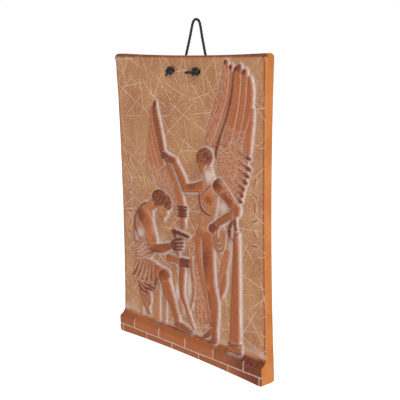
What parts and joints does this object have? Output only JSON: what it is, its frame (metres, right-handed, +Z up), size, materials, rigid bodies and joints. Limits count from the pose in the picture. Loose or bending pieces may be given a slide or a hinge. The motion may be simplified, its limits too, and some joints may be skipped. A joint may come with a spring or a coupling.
{
  "type": "wall plaque",
  "caption": "Terracotta wall plaque with a low figure relief of a seated man at a bench and a standing winged youth over a brick-pattern base, hung by a knotted cord.",
  "frame": {"origin": "the point at the top of the cord's loop where a nail carries it", "axes": "+Z up, +Y into the wall out of the flat back, +X to the viewer's right"},
  "size_m": [0.217, 0.0217, 0.3327],
  "materials": {
    "terracotta": "matt fired clay, stained brown on the relief, with a pale wash in the hollows",
    "black_cord": "matt twisted black cord"
  },
  "bodies": {
    "root": {"plaque": "terracotta", "hanging_cord": "black_cord", "knot_left": "black_cord", "knot_right": "black_cord"}
  },
  "joints": []
}
